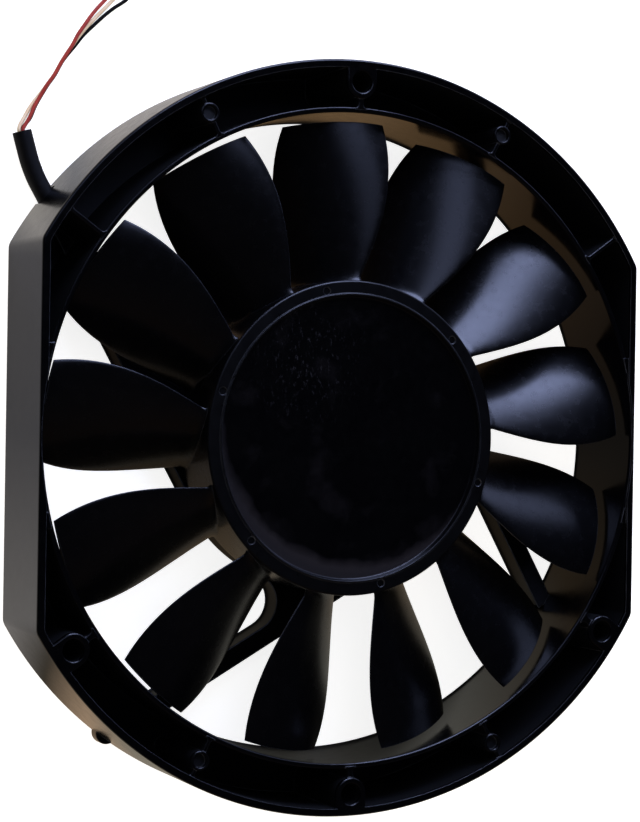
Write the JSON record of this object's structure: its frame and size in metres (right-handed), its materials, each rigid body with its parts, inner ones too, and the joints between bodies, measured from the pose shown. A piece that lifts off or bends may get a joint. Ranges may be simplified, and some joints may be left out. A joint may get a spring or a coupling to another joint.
{
  "type": "axial cooling fan",
  "caption": "Black tubeaxial cooling fan in a round frame with flattened sides; the bladed rotor spins on a brushless motor held by slanting struts, with a three-wire lead.",
  "frame": {"origin": "middle of the rear face of the frame, on the rotor axis", "axes": "+Z along the rotor axis towards the intake side, +X across the two flat sides, +Y along the long way of the frame"},
  "size_m": [0.15, 0.2119, 0.0254],
  "materials": {
    "frame_plastic": "semi-gloss moulded black, fine flow marks",
    "impeller_plastic": "semi-gloss moulded black",
    "sleeve_tube": "shrunk black tube, dull",
    "tie_strap": "black nylon",
    "lead_red": "dull PVC",
    "lead_black": "dull PVC",
    "lead_yellow": "dull PVC",
    "former_nylon": "natural nylon",
    "brass_metal": "turned",
    "bearing_steel": "ground and polished",
    "plain_steel": "zinc plated",
    "magnet_compound": "dull bonded ferrite",
    "winding_copper": "enamelled copper wire",
    "board_laminate": "green solder mask",
    "chip_resin": "moulded resin",
    "can_aluminium": "drawn can"
  },
  "bodies": {
    "root": {"fan_frame": "frame_plastic", "bearing_cap": "frame_plastic", "lead_sleeve": "sleeve_tube", "lead_tie": "tie_strap", "red_inner_lead": "lead_red", "red_lead": "lead_red", "red_tail": "lead_red", "lead_coil": "lead_red", "black_inner_lead": "lead_black", "black_lead": "lead_black", "black_tail": "lead_black", "yellow_inner_lead": "lead_yellow", "yellow_lead": "lead_yellow", "yellow_tail": "lead_yellow", "upper_insulator": "former_nylon", "lower_insulator": "former_nylon", "lead_connector": "former_nylon", "bearing_tube": "brass_metal", "front_bearing_outer": "bearing_steel", "rear_bearing_outer": "bearing_steel", "stator_core": "plain_steel", "coil_1": "winding_copper", "coil_2": "winding_copper", "coil_3": "winding_copper", "coil_4": "winding_copper", "circuit_board": "board_laminate", "driver_chip": "chip_resin", "hall_sensor": "chip_resin", "guard_diode": "chip_resin", "filter_capacitor": "can_aluminium"},
    "rotor": {"impeller": "impeller_plastic", "rotor_yoke": "plain_steel", "ring_magnet": "magnet_compound", "rotor_shaft": "bearing_steel", "shaft_bush": "brass_metal", "front_bearing_inner": "bearing_steel", "rear_bearing_inner": "bearing_steel", "preload_spring": "plain_steel", "retaining_clip": "plain_steel"},
    "front_cage": {"front_ball_cage": "brass_metal"},
    "rear_cage": {"rear_ball_cage": "brass_metal"}
  },
  "joints": [
    {"name": "rotor_spin", "type": "hinge", "parent": "root", "child": "rotor", "pos_m": [0, 0, 0.015], "axis": [0, 0, 1], "continuous": true},
    {"name": "front_cage_spin", "type": "hinge", "parent": "root", "child": "front_cage", "pos_m": [0, 0, 0.0155], "axis": [0, 0, 1], "continuous": true},
    {"name": "rear_cage_spin", "type": "hinge", "parent": "root", "child": "rear_cage", "pos_m": [0, 0, 0.0041], "axis": [0, 0, 1], "continuous": true}
  ],
  "couplings": [
    {"joint": "front_cage_spin", "follows": "rotor_spin", "ratio": 0.3944},
    {"joint": "rear_cage_spin", "follows": "rotor_spin", "ratio": 0.3944}
  ]
}
